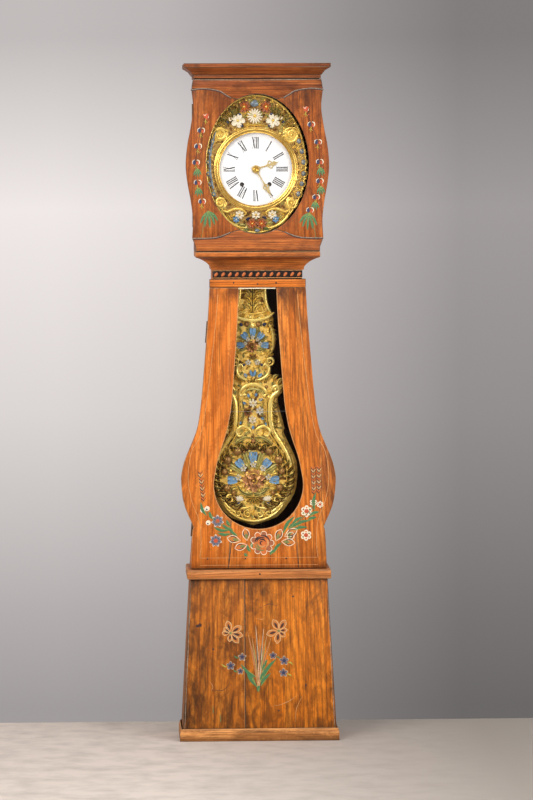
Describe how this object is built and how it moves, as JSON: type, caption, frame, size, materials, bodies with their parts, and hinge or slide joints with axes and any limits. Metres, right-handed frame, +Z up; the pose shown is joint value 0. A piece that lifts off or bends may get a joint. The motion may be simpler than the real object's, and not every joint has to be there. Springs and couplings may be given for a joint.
{
  "type": "comtoise longcase clock",
  "caption": "Tall weight-driven pine clock with a violin-shaped glazed trunk door, an oval-glazed hood door, an enamel dial and a wide pressed brass pendulum.",
  "frame": {"origin": "middle of the footprint, on the floor", "axes": "+Z up, the dial faces -Y, +X to the right as seen from the front"},
  "size_m": [0.5186, 0.31, 2.2],
  "materials": {
    "pine": "old waxed pine, orange brown with dark streaks",
    "pale_pine": "waxed pine, worn paler on the mouldings",
    "red_pine": "old waxed pine, red brown",
    "dark_wood": "dark unpolished wood",
    "gilt_brass": "thin pressed brass, polished, with painted flowers",
    "brass": "aged brass",
    "bell_metal": "turned bell metal",
    "enamel": "glossy white enamel on copper",
    "iron": "filed wrought iron",
    "cast_iron": "rough cast iron",
    "glass": "thin old window glass",
    "line": "twisted gut line"
  },
  "bodies": {
    "root": {"plinth_board_left": "pine", "plinth_board_right": "pine", "plinth_side_left": "pine", "plinth_side_right": "pine", "skirting": "pale_pine", "waist_moulding": "pale_pine", "trunk_side_left": "pine", "trunk_side_right": "pine", "case_back": "dark_wood", "rope_frieze": "dark_wood", "hood_cove": "pine", "hood_base": "pine", "hood_side_left": "red_pine", "hood_side_right": "red_pine", "hood_top": "red_pine", "cornice": "red_pine", "seat_board": "dark_wood", "trunk_hinge_upper_pin": "brass", "trunk_hinge_lower_pin": "brass", "hood_hinge_upper_pin": "brass", "hood_hinge_lower_pin": "brass", "dial_surround": "gilt_brass", "dial_plate": "enamel", "movement_cage": "iron", "bell": "bell_metal", "going_line": "line", "strike_line": "line"},
    "trunk_door": {"trunk_door_rail": "pine", "trunk_door_board_left": "pine", "trunk_door_board_middle": "pine", "trunk_door_board_right": "pine", "trunk_glass_upper": "glass", "trunk_glass_lower": "glass", "trunk_hinge_upper_leaf": "brass", "trunk_hinge_lower_leaf": "brass"},
    "hood_door": {"hood_door_rail_top": "red_pine", "hood_door_rail_bottom": "red_pine", "hood_door_stile_left": "red_pine", "hood_door_stile_right": "red_pine", "hood_glass": "glass", "hood_hinge_upper_leaf": "brass", "hood_hinge_lower_leaf": "brass"},
    "hour_hand": {"hour_hand": "brass"},
    "minute_hand": {"minute_hand": "brass"},
    "pendulum": {"pendulum_face": "gilt_brass", "pendulum_rod": "iron"},
    "anchor": {"anchor": "iron"},
    "escape_wheel": {"escape_wheel": "brass"},
    "third_wheel": {"third_wheel": "brass"},
    "centre_wheel": {"centre_wheel": "brass"},
    "intermediate_wheel": {"intermediate_wheel": "brass"},
    "going_great_wheel": {"going_great_wheel": "brass"},
    "going_drum": {"going_drum": "brass"},
    "going_weight": {"going_weight": "cast_iron"},
    "strike_fly": {"strike_fly": "brass"},
    "strike_pin_wheel": {"strike_pin_wheel": "brass"},
    "strike_great_wheel": {"strike_great_wheel": "brass"},
    "strike_drum": {"strike_drum": "brass"},
    "strike_weight": {"strike_weight": "cast_iron"},
    "hammer": {"hammer": "iron"}
  },
  "joints": [
    {"name": "trunk_door_hinge", "type": "hinge", "parent": "root", "child": "trunk_door", "pos_m": [-0.18848, -0.057, 1.03], "axis": [-0.0795, 0, -0.9968], "range_deg": [0, 90]},
    {"name": "hood_door_hinge", "type": "hinge", "parent": "root", "child": "hood_door", "pos_m": [-0.207, -0.0977, 1.87], "axis": [0, 0, -1], "range_deg": [0, 100]},
    {"name": "pendulum_swing", "type": "hinge", "parent": "root", "child": "pendulum", "pos_m": [-0.015, -0.014, 1.955], "axis": [0, 1, 0], "range_deg": [-1, 1]},
    {"name": "anchor_rock", "type": "hinge", "parent": "root", "child": "anchor", "pos_m": [-0.015, 0.085, 1.955], "axis": [0, 1, 0], "range_deg": [-1, 1]},
    {"name": "third_wheel_spin", "type": "hinge", "parent": "root", "child": "third_wheel", "pos_m": [0.01763, 0.067, 1.90533], "axis": [0, 1, 0], "continuous": true},
    {"name": "escape_wheel_spin", "type": "hinge", "parent": "root", "child": "escape_wheel", "pos_m": [-0.015, 0.085, 1.915], "axis": [0, 1, 0], "continuous": true},
    {"name": "centre_wheel_spin", "type": "hinge", "parent": "root", "child": "centre_wheel", "pos_m": [0.02855, 0.05, 1.87104], "axis": [0, 1, 0], "continuous": true},
    {"name": "intermediate_wheel_spin", "type": "hinge", "parent": "root", "child": "intermediate_wheel", "pos_m": [0.07099, 0.015, 1.84654], "axis": [0, 1, 0], "continuous": true},
    {"name": "going_great_wheel_spin", "type": "hinge", "parent": "root", "child": "going_great_wheel", "pos_m": [0.0395, 0.0285, 1.809], "axis": [0, 1, 0], "continuous": true},
    {"name": "minute_hand_spin", "type": "hinge", "parent": "root", "child": "minute_hand", "pos_m": [-0.005, -0.09, 1.858], "axis": [0, 1, 0], "continuous": true},
    {"name": "hour_hand_spin", "type": "hinge", "parent": "root", "child": "hour_hand", "pos_m": [-0.005, -0.09, 1.858], "axis": [0, 1, 0], "continuous": true},
    {"name": "going_weight_slide", "type": "slide", "parent": "root", "child": "going_weight", "axis": [0, 0, 1], "range_m": [0, 0.8], "deforming": ["going_line"]},
    {"name": "going_drum_spin", "type": "hinge", "parent": "root", "child": "going_drum", "pos_m": [0.0395, 0.06, 1.809], "axis": [0, 1, 0], "range_deg": [0, 1780]},
    {"name": "strike_weight_slide", "type": "slide", "parent": "root", "child": "strike_weight", "axis": [0, 0, 1], "range_m": [0, 0.8], "deforming": ["strike_line"]},
    {"name": "strike_drum_spin", "type": "hinge", "parent": "root", "child": "strike_drum", "pos_m": [-0.0495, 0.06, 1.809], "axis": [0, 1, 0], "range_deg": [0, 1780]},
    {"name": "strike_fly_spin", "type": "hinge", "parent": "root", "child": "strike_fly", "pos_m": [-0.03855, 0.06, 1.87104], "axis": [0, 1, 0], "continuous": true},
    {"name": "strike_pin_wheel_spin", "type": "hinge", "parent": "root", "child": "strike_pin_wheel", "pos_m": [-0.08099, 0.015, 1.84654], "axis": [0, 1, 0], "continuous": true},
    {"name": "strike_great_wheel_spin", "type": "hinge", "parent": "root", "child": "strike_great_wheel", "pos_m": [-0.0495, 0.0285, 1.809], "axis": [0, 1, 0], "continuous": true},
    {"name": "hammer_lift", "type": "hinge", "parent": "root", "child": "hammer", "pos_m": [-0.105, 0.0565, 1.9833], "axis": [0, -1, 0], "range_deg": [0, 20], "stiffness_Nm_per_rad": 0.1}
  ],
  "couplings": [
    {"joint": "anchor_rock", "follows": "pendulum_swing", "ratio": 1},
    {"joint": "escape_wheel_spin", "follows": "third_wheel_spin", "ratio": -7.5},
    {"joint": "centre_wheel_spin", "follows": "third_wheel_spin", "ratio": -0.125},
    {"joint": "intermediate_wheel_spin", "follows": "third_wheel_spin", "ratio": 0.020833},
    {"joint": "going_great_wheel_spin", "follows": "third_wheel_spin", "ratio": -0.0034722},
    {"joint": "minute_hand_spin", "follows": "third_wheel_spin", "ratio": 0.125},
    {"joint": "hour_hand_spin", "follows": "third_wheel_spin", "ratio": 0.010417},
    {"joint": "going_drum_spin", "follows": "going_weight_slide", "rad_per_m": 38.76},
    {"joint": "strike_drum_spin", "follows": "strike_weight_slide", "rad_per_m": 38.76},
    {"joint": "strike_great_wheel_spin", "follows": "strike_pin_wheel_spin", "ratio": -0.16667},
    {"joint": "strike_fly_spin", "follows": "strike_pin_wheel_spin", "ratio": -6}
  ]
}
